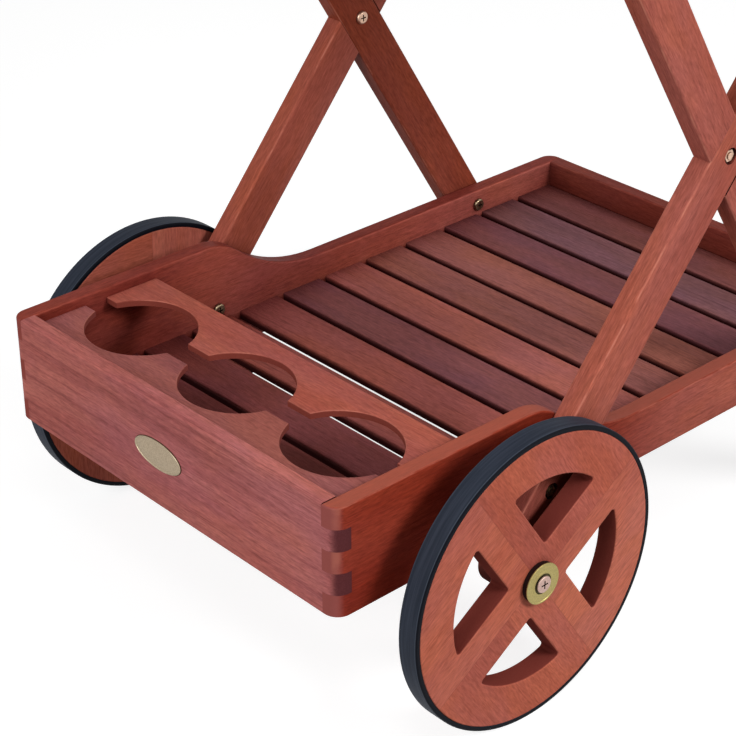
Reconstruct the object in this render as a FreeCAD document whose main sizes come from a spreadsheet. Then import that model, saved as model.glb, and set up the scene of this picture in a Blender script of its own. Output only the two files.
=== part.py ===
import FreeCAD, Part
import math
import os
import Sketcher

# Two-tier timber tea trolley: crossed leg frames, two large wheels, slatted trays and a bottle rack.
# Frame: +X towards the push handle, -Y the right side, +Z up, origin on the floor at mid length and width.

# Driving sizes, in millimetres and degrees
SIZES = {
    # Whole trolley: name plate face to the back of the wheel legs, and the width over both trays' boards
    "overall_length": 790.0,
    "tray_width": 440.0,
    # Tray boards: finger-jointed, rounded at the corners and along the top
    "board_thick": 16.5,
    "lower_length": 708.0,
    "upper_length": 597.0,
    "upper_height": 690.0,
    "front_height": 103.0,
    "rail_height": 50.0,
    "corner_radius": 14.0,
    "edge_round": 2.0,
    "curve_start": 212.0,
    "curve_run": 143.0,
    "curve_top_radius": 60.0,
    # Slat floors on two cleats each
    "slat_width": 48.0,
    "slat_thick": 8.6,
    "slat_round": 1.5,
    "slat_back_gap": 1.5,
    "slat_front_gap": 4.0,
    "third_gap_extra": 2.0,
    "fourth_gap_extra": 3.2,
    "slat_end_gap": 0.3,
    "cleat_width": 16.0,
    "cleat_height": 14.4,
    "screw_radius": 1.75,
    "screw_head_radius": 3.5,
    "screw_head_height": 2.2,
    "screw_bite": 5.0,
    # Bottle rack of two scalloped boards, held by dowels
    "rack_front_width": 54.5,
    "rack_rear_width": 57.0,
    "rack_slot": 23.5,
    "rack_thick": 6.0,
    "rack_drop": 10.0,
    "rack_round": 1.2,
    "scallop_radius": 56.0,
    "scallop_shift": 6.0,
    "dowel_radius": 1.5,
    "dowel_depth": 12.0,
    "dowel_inset": 14.0,
    "dowel_clearance": 0.05,
    # Blank oval plate on the front board, a little to the left of its middle
    "plate_length": 63.0,
    "plate_height": 28.0,
    "plate_thick": 1.2,
    "plate_offset": 6.0,
    # Leg frames: the wheel leg leans back from the axle, the foot leg leans forward from the floor
    "leg_width": 43.0,
    "leg_thick": 20.0,
    "leg_round": 2.5,
    "wheel_leg_angle": 50.0,
    "foot_leg_angle": 58.0,
    "cross_reach": 388.0,
    "axle_setback": 178.0,
    "axle_drop": 20.0,
    # Frame bolts with pan heads inside and nuts in recesses outside
    "bolt_height": 34.0,
    "bolt_radius": 3.0,
    "bolt_clearance": 0.2,
    "bolt_head_radius": 6.5,
    "bolt_head_height": 3.5,
    "bolt_end": 1.0,
    "nut_radius": 5.8,
    "nut_height": 4.5,
    "nut_recess_radius": 7.5,
    "nut_recess_depth": 6.0,
    "drive_depth": 1.6,
    "drive_width": 1.4,
    # Wheels: four glued quarters, a rubber tyre with a tongue and a flanged bush
    "wheel_radius": 139.0,
    "wheel_thick": 21.0,
    "wheel_gap": 9.0,
    "tyre_thick": 4.3,
    "tyre_round": 1.8,
    "tyre_fit": 0.05,
    "tongue_width": 10.0,
    "tongue_depth": 3.0,
    "rim_width": 38.0,
    "spoke_width": 49.0,
    "window_round": 3.0,
    "wheel_edge_round": 1.5,
    "right_wheel_turn": 33.6,
    "left_wheel_turn": 88.0,
    "bush_radius": 9.0,
    "bush_fit": 0.05,
    "bush_flange_radius": 18.3,
    "bush_flange_thick": 4.2,
    # Axle bolts and what is threaded on them
    "axle_radius": 5.0,
    "axle_running_fit": 0.05,
    "axle_play": 0.3,
    "axle_washer_radius": 19.0,
    "axle_washer_thick": 1.4,
    "axle_head_radius": 7.8,
    "axle_head_height": 2.0,
    "axle_spacer_radius": 12.0,
    "axle_nut_radius": 9.8,
    "axle_nut_height": 8.0,
    "axle_end": 2.0,
    # Push handle
    "handle_radius": 14.0,
    "handle_screw_bite": 40.0,
}

# Counts that belong to the design and not to a length
FRONT_FINGERS = 5
RAIL_FINGERS = 3
LOWER_SLATS = 12
UPPER_SLATS = 10
BOTTLES = 3
QUARTERS = 4

doc = FreeCAD.newDocument("TeaTrolley")
sheet = doc.addObject("Spreadsheet::Sheet", "Sizes")
for row, (alias, number) in enumerate(SIZES.items(), start=1):
    sheet.set(f"A{row}", str(number))
    sheet.setAlias(f"A{row}", alias)
doc.recompute()

# Places that several pieces share, as expressions on the sheet
HALF_WIDTH = "(Sizes.tray_width / 2)"
INNER_HALF = "(Sizes.tray_width / 2 - Sizes.board_thick)"
FRONT_X = "(Sizes.plate_thick - Sizes.overall_length / 2)"
BACK_X = f"({FRONT_X} + Sizes.lower_length)"
AXLE_X = f"({FRONT_X} + Sizes.axle_setback)"
AXLE_Z = "Sizes.wheel_radius"
LOWER_Z = "(Sizes.wheel_radius + Sizes.axle_drop)"
LOWER_BOLT_Z = f"({LOWER_Z} + Sizes.bolt_height)"
UPPER_BOLT_Z = "(Sizes.upper_height + Sizes.bolt_height)"
CROSS_X = f"({AXLE_X} + Sizes.cross_reach * cos(Sizes.wheel_leg_angle))"
CROSS_Z = f"({AXLE_Z} + Sizes.cross_reach * sin(Sizes.wheel_leg_angle))"
HANDLE_X = "(Sizes.overall_length / 2 - Sizes.leg_width / 2)"
HANDLE_Z = f"({AXLE_Z} + ({HANDLE_X} - {AXLE_X}) * tan(Sizes.wheel_leg_angle))"
LEG_FACE = f"({HALF_WIDTH} + Sizes.leg_thick)"
NUT_SEAT = f"({LEG_FACE} - Sizes.nut_recess_depth)"
WHEEL_MIDDLE = f"({LEG_FACE} + Sizes.wheel_gap + Sizes.wheel_thick / 2)"
WHEEL_FACE = f"({LEG_FACE} + Sizes.wheel_gap + Sizes.wheel_thick)"
WASHER_SEAT = f"({WHEEL_FACE} + Sizes.bush_flange_thick + Sizes.axle_play)"
AXLE_SEAT = f"({WASHER_SEAT} + Sizes.axle_washer_thick)"
WOOD_RADIUS = "(Sizes.wheel_radius - Sizes.tyre_thick)"
SCREW_Y = f"({INNER_HALF} - Sizes.cleat_width / 2)"
RACK_FRONT_X = f"({FRONT_X} + Sizes.board_thick)"
RACK_REAR_X = f"({RACK_FRONT_X} + Sizes.rack_front_width + Sizes.rack_slot)"
RACK_Z = f"({LOWER_Z} + Sizes.front_height - Sizes.rack_drop - Sizes.rack_thick)"
BOLT_HOLE = "(Sizes.bolt_radius + Sizes.bolt_clearance)"
AXLE_HOLE = "(Sizes.axle_radius + Sizes.bolt_clearance)"
DOWEL_HOLE = "(Sizes.dowel_radius + Sizes.dowel_clearance)"
PAN_HEAD = ("Sizes.bolt_head_radius", "Sizes.bolt_head_height")

# Bolt places of the two trays: (x, z) where each leg crosses each tray's bolt line
LOWER_BOLTS = [
    (f"({AXLE_X} + ({LOWER_BOLT_Z} - {AXLE_Z}) / tan(Sizes.wheel_leg_angle))", LOWER_BOLT_Z),
    (f"({CROSS_X} + ({CROSS_Z} - {LOWER_BOLT_Z}) / tan(Sizes.foot_leg_angle))", LOWER_BOLT_Z),
]
UPPER_BOLTS = [
    (f"({AXLE_X} + ({UPPER_BOLT_Z} - {AXLE_Z}) / tan(Sizes.wheel_leg_angle))", UPPER_BOLT_Z),
    (f"({CROSS_X} + ({CROSS_Z} - {UPPER_BOLT_Z}) / tan(Sizes.foot_leg_angle))", UPPER_BOLT_Z),
]
UPPER_FRONT_X = f"(({UPPER_BOLTS[0][0]} + {UPPER_BOLTS[1][0]}) / 2 - Sizes.upper_length / 2)"

ALONG_Y = FreeCAD.Rotation()
AGAINST_Y = FreeCAD.Rotation(FreeCAD.Vector(0, 0, 1), 180)
UPWARDS = FreeCAD.Rotation(FreeCAD.Vector(1, 0, 0), 90)

# Finished sub-parts, in the order in which they are put together
finished = []


# Drawing helpers
def value(expression):
    """The number that an expression on the sheet gives now."""
    return float(sheet.evalExpression(expression))


def finish(piece, label):
    piece.Label = label
    finished.append(piece)
    return piece


def place(piece, x="0", y="0", z="0"):
    for axis, expression in zip("xyz", (x, y, z)):
        piece.setExpression(f"Placement.Base.{axis}", expression)


def new_body(label, x="0", y="0", z="0"):
    body = doc.addObject("PartDesign::Body", label)
    place(body, x, y, z)
    return body


def lean(body, angle):
    """Turn a body about the cross axis, from +X towards +Z."""
    body.Placement.Rotation = FreeCAD.Rotation(FreeCAD.Vector(0, -1, 0), value(angle))
    body.setExpression("Placement.Rotation.Angle", angle)


def new_sketch(body, role, offset="0"):
    sketch = body.newObject("Sketcher::SketchObject", f"{body.Label}_sketch")
    plane = next(item for item in body.Origin.OriginFeatures if item.Role == role)
    sketch.AttachmentSupport = [(plane, "")]
    sketch.MapMode = "FlatFace"
    sketch.setExpression("AttachmentOffset.Base.z", offset)
    return sketch


def pin(sketch, kind, curve, point, expression):
    """Fix one coordinate of a sketch point to an expression."""
    rule = Sketcher.Constraint(kind, -1, 1, curve, point, value(expression))
    index = sketch.addConstraint(rule)
    sketch.setExpression(f"Constraints[{index}]", expression)


def draw_arc(sketch, start, end, centre_x, turn):
    """Arc between two points, from the x of its centre. A positive turn runs counter-clockwise."""
    middle = (start + end) / 2
    chord = end - start
    x = value(centre_x)
    centre = FreeCAD.Vector(x, middle.y - (x - middle.x) * chord.x / chord.y, 0)
    first, last = (start, end) if turn > 0 else (end, start)
    angles = [math.atan2(point.y - centre.y, point.x - centre.x) for point in (first, last)]
    circle = Part.Circle(centre, FreeCAD.Vector(0, 0, 1), (start - centre).Length)
    curve = sketch.addGeometry(Part.ArcOfCircle(circle, *angles), False)
    pin(sketch, "DistanceX", curve, 3, centre_x)
    return curve


def draw_outline(sketch, corners):
    """Closed outline. A corner is (x, y), or (x, y, centre_x, turn) where an arc leaves it."""
    points = [FreeCAD.Vector(value(corner[0]), value(corner[1]), 0) for corner in corners]
    ends = []
    for index, corner in enumerate(corners):
        start = points[index]
        end = points[(index + 1) % len(points)]
        if len(corner) == 2:
            curve = sketch.addGeometry(Part.LineSegment(start, end), False)
            ends.append((curve, 1, 2))
        else:
            curve = draw_arc(sketch, start, end, *corner[2:])
            ends.append((curve, 1, 2) if corner[3] > 0 else (curve, 2, 1))
    for index, corner in enumerate(corners):
        curve, start, end = ends[index]
        follower, follower_start, _ = ends[(index + 1) % len(ends)]
        sketch.addConstraint(Sketcher.Constraint("Coincident", curve, end, follower, follower_start))
        pin(sketch, "DistanceX", curve, start, corner[0])
        pin(sketch, "DistanceY", curve, start, corner[1])


def draw_circle(sketch, x, y, radius):
    centre = FreeCAD.Vector(value(x), value(y), 0)
    curve = sketch.addGeometry(Part.Circle(centre, FreeCAD.Vector(0, 0, 1), value(radius)), False)
    pin(sketch, "DistanceX", curve, 3, x)
    pin(sketch, "DistanceY", curve, 3, y)
    index = sketch.addConstraint(Sketcher.Constraint("Radius", curve, value(radius)))
    sketch.setExpression(f"Constraints[{index}]", radius)


def pad(body, sketch, length, symmetric=False):
    feature = body.newObject("PartDesign::Pad", f"{body.Label}_pad")
    feature.Profile = sketch
    feature.setExpression("Length", length)
    if symmetric:
        feature.SideType = "Symmetric"
    return feature


def pocket(body, sketch, depth, along_normal=False):
    feature = body.newObject("PartDesign::Pocket", f"{body.Label}_pocket")
    feature.Profile = sketch
    feature.setExpression("Length", depth)
    feature.Reversed = along_normal
    return feature


def turned(body, sketch):
    """Solid of revolution about the sketch's upright axis."""
    feature = body.newObject("PartDesign::Revolution", f"{body.Label}_turned")
    feature.Profile = sketch
    feature.ReferenceAxis = (sketch, ["V_Axis"])
    feature.Angle = 360
    return feature


def round_edges(body, radius, names):
    base = body.Tip
    feature = body.newObject("PartDesign::Fillet", f"{body.Label}_round")
    feature.Base = (base, names)
    feature.setExpression("Radius", radius)
    doc.recompute()
    return feature


def edge_names(shape, wanted):
    """Names of the edges that a test accepts."""
    return [f"Edge{index}" for index, edge in enumerate(shape.Edges, start=1) if wanted(edge)]


def rim_names(shape, wanted_face, wanted_edge=lambda edge: True):
    """Names of the edges round a patch of faces, without the edges inside the patch."""
    rim = [edge for face in shape.Faces if wanted_face(face) for edge in face.OuterWire.Edges]
    return edge_names(shape, lambda edge: sum(edge.isSame(other) for other in rim) == 1 and wanted_edge(edge))


def same(first, second):
    return abs(first - second) < 1e-4


def face_normal(face):
    low_u, high_u, low_v, high_v = face.ParameterRange
    return face.normalAt((low_u + high_u) / 2, (low_v + high_v) / 2)


def mirrored(source, label):
    twin = doc.addObject("Part::Mirroring", label)
    twin.Source = source
    twin.Normal = FreeCAD.Vector(0, 1, 0)
    return finish(twin, label)


def block(label, size, x, y, z):
    piece = doc.addObject("Part::Box", label)
    for side, expression in zip(("Length", "Width", "Height"), size):
        piece.setExpression(side, expression)
    place(piece, x, y, z)
    return finish(piece, label)


def copies(label, master, places):
    """One node of like solids: copies of a master at (x, y, z, rotation)."""
    doc.recompute()
    solids = []
    for x, y, z, rotation in places:
        solid = master.Shape.copy()
        base = FreeCAD.Vector(value(x), value(y), value(z))
        solid.Placement = FreeCAD.Placement(base, rotation)
        solids.append(solid)
    group = doc.addObject("Part::Feature", label)
    group.Shape = Part.makeCompound(solids)
    return finish(group, label)


def both_sides(points, y, towards_middle):
    """Places on the right and the left side for a fastener that points in or out."""
    right, left = (ALONG_Y, AGAINST_Y) if towards_middle else (AGAINST_Y, ALONG_Y)
    places = []
    for x, z in points:
        places.append((x, f"-{y}", z, right))
        places.append((x, y, z, left))
    return places


# Tray boards
def fingers(outer, inner, height, count):
    """Corners of a finger-jointed end, from the bottom up: the first finger reaches the outer line."""
    corners = []
    for level in range(count):
        reach = inner if level % 2 else outer
        corners.append((reach, f"({height}) * {level} / {count}"))
        corners.append((reach, f"({height}) * {level + 1} / {count}"))
    return corners


def end_board(label, x, z, height, count, faces_front):
    """Front or rear board of a tray, with fingers at both ends."""
    body = new_body(label, x, "0", z)
    sketch = new_sketch(body, "YZ_Plane")
    right = fingers(f"-{INNER_HALF}", f"-{HALF_WIDTH}", height, count)
    left = fingers(INNER_HALF, HALF_WIDTH, height, count)
    draw_outline(sketch, left + right[::-1])
    pad(body, sketch, "Sizes.board_thick")
    doc.recompute()
    outer = 0 if faces_front else value("Sizes.board_thick")
    corner_y = value(HALF_WIDTH)

    def is_corner(edge):
        ends = [vertex.Point for vertex in edge.Vertexes]
        return all(same(point.x, outer) and same(abs(point.y), corner_y) for point in ends)

    round_edges(body, "Sizes.corner_radius", edge_names(body.Tip.Shape, is_corner))
    top = value(height)
    long_edge = value(INNER_HALF)
    top_names = rim_names(
        body.Tip.Shape,
        lambda face: same(face.BoundBox.ZMin, top),
        lambda edge: edge.Length > long_edge,
    )
    round_edges(body, "Sizes.edge_round", top_names)
    return finish(body, label)


def side_board(label, x, z, length, front, rear, top, holes, sockets=()):
    """Right side board: pads outwards from its inner face. The top runs between the two finger ends."""
    body = new_body(label, x, f"-{INNER_HALF}", z)
    sketch = new_sketch(body, "XZ_Plane")
    front_end = fingers("0", "Sizes.board_thick", *front)
    rear_end = fingers(length, f"({length} - Sizes.board_thick)", *rear)
    draw_outline(sketch, front_end + top + rear_end[::-1])
    for hole_x, hole_z in holes:
        draw_circle(sketch, hole_x, hole_z, BOLT_HOLE)
    pad(body, sketch, "Sizes.board_thick")
    doc.recompute()
    outer = -value("Sizes.board_thick")
    end_x = value(length)

    def is_corner(edge):
        ends = [vertex.Point for vertex in edge.Vertexes]
        at_end = same(ends[0].x, 0) or same(ends[0].x, end_x)
        upright = all(same(point.x, ends[0].x) and same(point.y, outer) for point in ends)
        return at_end and upright

    round_edges(body, "Sizes.corner_radius", edge_names(body.Tip.Shape, is_corner))
    ledge = value("Sizes.board_thick") + 1
    top_names = rim_names(
        body.Tip.Shape,
        lambda face: face_normal(face).z > 0.2 and face.BoundBox.XLength > ledge,
    )
    round_edges(body, "Sizes.edge_round", top_names)
    if sockets:
        socket_sketch = new_sketch(body, "XZ_Plane")
        for socket_x, socket_z in sockets:
            draw_circle(socket_sketch, socket_x, socket_z, DOWEL_HOLE)
        pocket(body, socket_sketch, "Sizes.dowel_depth", along_normal=True)
    return finish(body, label)


def slat_floor(prefix, front_x, z, length, count, wide_gaps=()):
    """Slats and the two cleats under their ends. Returns the places of the slats' screws.

    The slats are evenly spaced, but for wide gaps: (slats in front of the gap, extra width).
    """
    start = f"({front_x} + Sizes.board_thick)"
    inner_length = f"({length} - 2 * Sizes.board_thick)"
    extras = " + ".join(["0"] + [extra for _, extra in wide_gaps])
    room = f"({inner_length} - Sizes.slat_front_gap - Sizes.slat_back_gap - Sizes.slat_width - ({extras}))"
    slat_z = f"({z} + Sizes.cleat_height)"
    screws = []
    for index in range(count):
        shift = " + ".join(["0"] + [extra for slats, extra in wide_gaps if index >= slats])
        slat_x = f"({start} + Sizes.slat_front_gap + {room} * {index} / {count - 1} + {shift})"
        slat(f"{prefix}_slat_{index + 1:02d}", slat_x, slat_z)
        middle = f"({slat_x} + Sizes.slat_width / 2)"
        screws += [(middle, f"-{SCREW_Y}", z, UPWARDS), (middle, SCREW_Y, z, UPWARDS)]
    cleat = (inner_length, "Sizes.cleat_width", "Sizes.cleat_height")
    block(f"{prefix}_cleat_right", cleat, start, f"-{INNER_HALF}", z)
    block(f"{prefix}_cleat_left", cleat, start, f"({INNER_HALF} - Sizes.cleat_width)", z)
    return screws


def slat(label, x, z):
    body = new_body(label, x, "0", z)
    sketch = new_sketch(body, "XZ_Plane")
    width, thick, bend = "Sizes.slat_width", "Sizes.slat_thick", "Sizes.slat_round"
    draw_outline(sketch, [
        ("0", "0"),
        (width, "0"),
        (width, f"{thick} - {bend}", f"{width} - {bend}", 1),
        (f"{width} - {bend}", thick),
        (bend, thick, bend, 1),
        ("0", f"{thick} - {bend}"),
    ])
    pad(body, sketch, f"2 * ({INNER_HALF} - Sizes.slat_end_gap)", symmetric=True)
    return finish(body, label)


# Bottle rack
def rack_board(label, x, width, slot_on_back):
    """Rack board with one scallop for each bottle along the edge that faces the slot."""
    body = new_body(label, x, "0", RACK_Z)
    sketch = new_sketch(body, "XY_Plane")
    depth = "(Sizes.rack_slot / 2 + Sizes.scallop_shift)"
    chord = f"sqrt(Sizes.scallop_radius ^ 2 - {depth} ^ 2)"
    plain, slotted = ("0", width) if slot_on_back else (width, "0")
    centre, turn = (f"{width} + {depth}", -1) if slot_on_back else (f"-{depth}", 1)
    corners = [(plain, f"-{INNER_HALF}"), (slotted, f"-{INNER_HALF}")]
    for bottle in range(BOTTLES):
        middle = f"{INNER_HALF} * {2 * bottle + 1 - BOTTLES} / {BOTTLES}"
        corners.append((slotted, f"{middle} - {chord}", centre, turn))
        corners.append((slotted, f"{middle} + {chord}"))
    corners += [(slotted, INNER_HALF), (plain, INNER_HALF)]
    draw_outline(sketch, corners)
    pad(body, sketch, "Sizes.rack_thick")
    doc.recompute()
    top, end_y, plain_x = value("Sizes.rack_thick"), value(INNER_HALF), value(plain)

    def is_slot_edge(edge):
        ends = [vertex.Point for vertex in edge.Vertexes]
        at_end = all(same(abs(point.y), end_y) for point in ends) and same(ends[0].y, ends[1].y)
        return not at_end and not all(same(point.x, plain_x) for point in ends)

    names = rim_names(body.Tip.Shape, lambda face: same(face.BoundBox.ZMin, top), is_slot_edge)
    round_edges(body, "Sizes.rack_round", names)
    for side in (1, -1):
        holes = new_sketch(body, "XZ_Plane", f"{side} * {INNER_HALF}")
        for hole_x in ("Sizes.dowel_inset", f"{width} - Sizes.dowel_inset"):
            draw_circle(holes, hole_x, "Sizes.rack_thick / 2", DOWEL_HOLE)
        pocket(body, holes, "Sizes.dowel_depth", along_normal=side < 0)
    return finish(body, label)


def dowel_places():
    """Places along the tray of the dowels, half in a rack board's end and half in a side board."""
    places = []
    for start, width in ((RACK_FRONT_X, "Sizes.rack_front_width"), (RACK_REAR_X, "Sizes.rack_rear_width")):
        places.append(f"({start} + Sizes.dowel_inset)")
        places.append(f"({start} + {width} - Sizes.dowel_inset)")
    return places


# Leg frames
HALF_LEG = "(Sizes.leg_width / 2)"
LEG_SPREAD = "(180 - Sizes.wheel_leg_angle - Sizes.foot_leg_angle)"


def leg(label, x, z, angle, corners, holes, recesses, lap):
    """Right-hand leg: pads outwards from its inner face, with bolt holes, nut recesses and a half lap."""
    body = new_body(label, x, f"-{HALF_WIDTH}", z)
    lean(body, angle)
    sketch = new_sketch(body, "XZ_Plane")
    draw_outline(sketch, corners)
    for along, radius in holes:
        draw_circle(sketch, along, "0", radius)
    pad(body, sketch, "Sizes.leg_thick")
    doc.recompute()
    names = rim_names(body.Tip.Shape, lambda face: abs(face_normal(face).y) > 0.9)
    round_edges(body, "Sizes.leg_round", names)
    recess_sketch = new_sketch(body, "XZ_Plane", "Sizes.leg_thick")
    for along in recesses:
        draw_circle(recess_sketch, along, "0", "Sizes.nut_recess_radius")
    pocket(body, recess_sketch, "Sizes.nut_recess_depth")
    lap_offset, lap_corners = lap
    lap_sketch = new_sketch(body, "XZ_Plane", lap_offset)
    draw_outline(lap_sketch, lap_corners)
    pocket(body, lap_sketch, "Sizes.leg_thick / 2", along_normal=True)
    return finish(body, label)


def lap_outline(centre, slant):
    """Band that the other leg cuts across this one, run past both edges."""
    reach = f"{HALF_LEG} / sin({LEG_SPREAD})"
    shift = f"{slant} * Sizes.leg_width / tan({LEG_SPREAD})"
    return [
        (f"{centre} - {reach} - {shift}", "-Sizes.leg_width"),
        (f"{centre} + {reach} - {shift}", "-Sizes.leg_width"),
        (f"{centre} + {reach} + {shift}", "Sizes.leg_width"),
        (f"{centre} - {reach} + {shift}", "Sizes.leg_width"),
    ]


def wheel_leg():
    """Leg from the axle to the handle, rounded at both ends."""
    top = f"(({HANDLE_X} - {AXLE_X}) / cos(Sizes.wheel_leg_angle))"
    low_bolt = f"(({LOWER_BOLT_Z} - {AXLE_Z}) / sin(Sizes.wheel_leg_angle))"
    high_bolt = f"(({UPPER_BOLT_Z} - {AXLE_Z}) / sin(Sizes.wheel_leg_angle))"
    corners = [
        ("0", f"-{HALF_LEG}"),
        (top, f"-{HALF_LEG}", top, 1),
        (top, HALF_LEG),
        ("0", HALF_LEG, "0", 1),
    ]
    holes = [("0", AXLE_HOLE), (top, BOLT_HOLE)]
    recesses = [low_bolt, "Sizes.cross_reach", high_bolt]
    holes += [(along, BOLT_HOLE) for along in recesses]
    lap = ("0", lap_outline("Sizes.cross_reach", 1))
    return leg("wheel_leg_right", AXLE_X, AXLE_Z, "Sizes.wheel_leg_angle", corners, holes, recesses, lap)


def foot_leg():
    """Leg from the floor, where it is sawn level, to the front of the upper tray."""
    top = f"(({UPPER_BOLT_Z} - {CROSS_Z}) / sin(Sizes.foot_leg_angle))"
    low_bolt = f"(({LOWER_BOLT_Z} - {CROSS_Z}) / sin(Sizes.foot_leg_angle))"
    foot = f"({CROSS_Z} / sin(Sizes.foot_leg_angle))"
    skew = f"({HALF_LEG} / tan(Sizes.foot_leg_angle))"
    corners = [
        (f"-{foot} - {skew}", f"-{HALF_LEG}"),
        (top, f"-{HALF_LEG}", top, 1),
        (top, HALF_LEG),
        (f"-{foot} + {skew}", HALF_LEG),
    ]
    recesses = [low_bolt, top]
    holes = [(along, BOLT_HOLE) for along in recesses + ["0"]]
    lap = ("Sizes.leg_thick / 2", lap_outline("0", -1))
    angle = "180 - Sizes.foot_leg_angle"
    return leg("foot_leg_right", CROSS_X, CROSS_Z, angle, corners, holes, recesses, lap)


# Fasteners, drawn with the head's seat at y = 0 and the shank along +Y
def bolt(label, radius, length, head_radius, head_height):
    """Pan-head bolt with a cross recess."""
    body = new_body(label)
    profile = new_sketch(body, "XY_Plane")
    crown = f"({head_height} / 2)"
    draw_outline(profile, [
        ("0", length),
        ("0", f"-{head_height}"),
        (f"{head_radius} - {crown}", f"-{head_height}", f"{head_radius} - {crown}", 1),
        (head_radius, f"-{crown}"),
        (head_radius, "0"),
        (radius, "0"),
        (radius, length),
    ])
    turned(body, profile)
    drive = new_sketch(body, "XZ_Plane", head_height)
    arm, half = f"{head_radius} / 2", "Sizes.drive_width / 2"
    draw_outline(drive, [
        (arm, f"-{half}"), (arm, half), (half, half), (half, arm), (f"-{half}", arm), (f"-{half}", half),
        (f"-{arm}", half), (f"-{arm}", f"-{half}"), (f"-{half}", f"-{half}"), (f"-{half}", f"-{arm}"),
        (half, f"-{arm}"), (half, f"-{half}"),
    ])
    pocket(body, drive, "Sizes.drive_depth")
    return body


def wood_screw(label):
    """Countersunk screw with a pointed end."""
    body = new_body(label)
    profile = new_sketch(body, "XY_Plane")
    length = "(Sizes.cleat_height + Sizes.screw_bite)"
    draw_outline(profile, [
        ("0", length),
        ("0", "0"),
        ("Sizes.screw_head_radius", "0"),
        ("Sizes.screw_radius", "Sizes.screw_head_height"),
        ("Sizes.screw_radius", f"{length} - 2 * Sizes.screw_radius"),
    ])
    turned(body, profile)
    return body


def nut(label, radius, hole, height):
    """Hexagon nut, with its seat at y = 0 and its body along -Y."""
    body = new_body(label)
    sketch = new_sketch(body, "XZ_Plane")
    draw_outline(sketch, [(f"{radius} * cos({60 * k})", f"{radius} * sin({60 * k})") for k in range(6)])
    draw_circle(sketch, "0", "0", hole)
    pad(body, sketch, height)
    return body


def ring(label, radius, hole, thick):
    """Washer or spacer, with its seat at y = 0 and its body along -Y."""
    body = new_body(label)
    sketch = new_sketch(body, "XZ_Plane")
    draw_circle(sketch, "0", "0", radius)
    draw_circle(sketch, "0", "0", hole)
    pad(body, sketch, thick)
    return body


# Wheels, drawn about the axle with y = 0 at the middle of the rim
def wheel_quarter():
    """One glued quarter: half of two spokes, the rim between them and a window."""
    body = new_body("wheel_quarter")
    sketch = new_sketch(body, "XZ_Plane")
    bore = "Sizes.bush_radius + Sizes.bush_fit"
    half = "Sizes.spoke_width / 2"
    reach = f"sqrt(({WOOD_RADIUS} - Sizes.rim_width) ^ 2 - ({half}) ^ 2)"
    draw_outline(sketch, [
        (bore, "0"),
        (WOOD_RADIUS, "0", "0", 1),
        ("0", WOOD_RADIUS),
        ("0", bore, "0", -1),
    ])
    draw_outline(sketch, [
        (half, half),
        (reach, half, "0", 1),
        (half, reach),
    ])
    pad(body, sketch, "Sizes.wheel_thick", symmetric=True)
    doc.recompute()
    side_y = value("Sizes.wheel_thick") / 2
    hub_edge = value(half) / 2

    def is_window_corner(edge):
        first, last = (vertex.Point for vertex in edge.Vertexes)
        across = same(first.x, last.x) and same(first.z, last.z)
        return across and min(first.x, first.z) > hub_edge

    def is_face_edge(edge):
        middle = edge.valueAt((edge.FirstParameter + edge.LastParameter) / 2)
        on_face = all(same(abs(vertex.Y), side_y) for vertex in edge.Vertexes)
        return on_face and min(middle.x, middle.z) > hub_edge

    round_edges(body, "Sizes.window_round", edge_names(body.Tip.Shape, is_window_corner))
    round_edges(body, "Sizes.wheel_edge_round", edge_names(body.Tip.Shape, is_face_edge))
    groove_sketch = new_sketch(body, "XY_Plane")
    bottom = f"{WOOD_RADIUS} - Sizes.tongue_depth"
    draw_outline(groove_sketch, [
        (bottom, "-Sizes.tongue_width / 2"),
        ("Sizes.wheel_radius", "-Sizes.tongue_width / 2"),
        ("Sizes.wheel_radius", "Sizes.tongue_width / 2"),
        (bottom, "Sizes.tongue_width / 2"),
    ])
    groove = body.newObject("PartDesign::Groove", "wheel_quarter_groove")
    groove.Profile = groove_sketch
    groove.ReferenceAxis = (groove_sketch, ["V_Axis"])
    groove.Angle = 360
    return body


def tyre():
    """Rubber band with rounded shoulders and a tongue that sits in the rim's groove."""
    body = new_body("right_tyre", AXLE_X, f"-{WHEEL_MIDDLE}", AXLE_Z)
    profile = new_sketch(body, "XY_Plane")
    band = f"({WOOD_RADIUS} + Sizes.tyre_fit)"
    tip = f"({band} - Sizes.tongue_depth)"
    tongue = "(Sizes.tongue_width / 2 - Sizes.tyre_fit)"
    edge = "(Sizes.wheel_thick / 2)"
    outer, bend = "Sizes.wheel_radius", "Sizes.tyre_round"
    draw_outline(profile, [
        (tip, f"-{tongue}"),
        (band, f"-{tongue}"),
        (band, f"-{edge}"),
        (f"{outer} - {bend}", f"-{edge}", f"{outer} - {bend}", 1),
        (outer, f"-{edge} + {bend}"),
        (outer, f"{edge} - {bend}", f"{outer} - {bend}", 1),
        (f"{outer} - {bend}", edge),
        (band, edge),
        (band, tongue),
        (tip, tongue),
    ])
    turned(body, profile)
    return finish(body, "right_tyre")


def bush():
    """Plastic bush through the hub, with a flange on the wheel's outer face."""
    body = new_body("right_wheel_bush", AXLE_X, f"-{WHEEL_MIDDLE}", AXLE_Z)
    profile = new_sketch(body, "XY_Plane")
    bore = "Sizes.axle_radius + Sizes.axle_running_fit"
    edge = "(Sizes.wheel_thick / 2)"
    draw_outline(profile, [
        (bore, edge),
        (bore, f"-{edge} - Sizes.bush_flange_thick"),
        ("Sizes.bush_flange_radius", f"-{edge} - Sizes.bush_flange_thick"),
        ("Sizes.bush_flange_radius", f"-{edge}"),
        ("Sizes.bush_radius", f"-{edge}"),
        ("Sizes.bush_radius", edge),
    ])
    turned(body, profile)
    return finish(body, "right_wheel_bush")


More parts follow.
